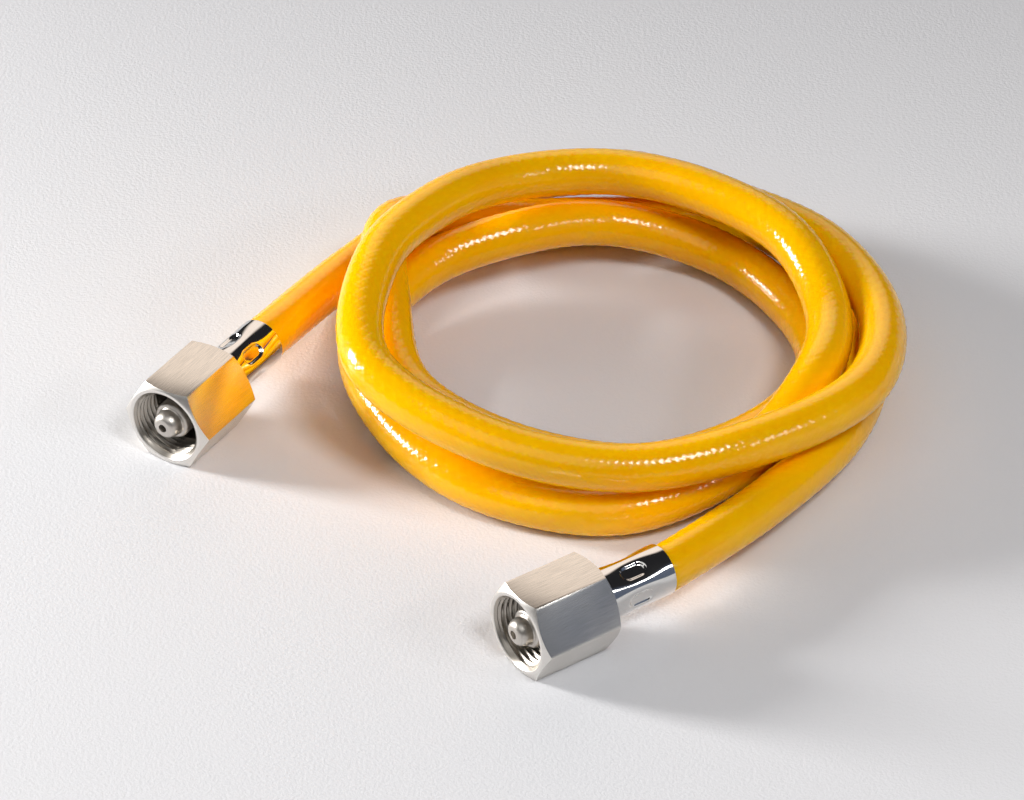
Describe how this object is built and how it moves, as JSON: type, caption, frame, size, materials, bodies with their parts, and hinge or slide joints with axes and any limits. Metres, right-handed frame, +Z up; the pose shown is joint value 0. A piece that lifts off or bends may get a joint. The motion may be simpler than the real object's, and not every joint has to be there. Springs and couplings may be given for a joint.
{
  "type": "medical gas hose",
  "caption": "Braided hose lying in a loose coil, with a crimped dimpled ferrule and a hexagon swivel nut over a bullet-nosed nipple at each end.",
  "frame": {"origin": "on the surface that carries the coil, under the middle of the whole part's footprint", "axes": "+Z up, the coil's flat direction; +Y away from the end that lies nearest in the picture"},
  "size_m": [0.199, 0.207, 0.042],
  "materials": {
    "jacket": "glossy yellow jacket",
    "satin_nickel": "satin nickel",
    "machined_nickel": "machined",
    "polished_steel": "mirror polished"
  },
  "bodies": {
    "hose": {"hose": "jacket", "nipple_a": "machined_nickel", "nipple_b": "machined_nickel", "ferrule_a": "polished_steel", "ferrule_b": "polished_steel"},
    "nut_a": {"nut_a": "satin_nickel"},
    "nut_b": {"nut_b": "satin_nickel"}
  },
  "joints": [
    {"name": "nut_a_swivel", "type": "hinge", "parent": "hose", "child": "nut_a", "pos_m": [-0.0002, -0.0938, 0.01111], "axis": [0.8131, 0.5821, 0], "continuous": true},
    {"name": "nut_b_swivel", "type": "hinge", "parent": "hose", "child": "nut_b", "pos_m": [-0.0893, -0.0099, 0.01111], "axis": [0.5329, 0.8462, 0], "continuous": true}
  ]
}
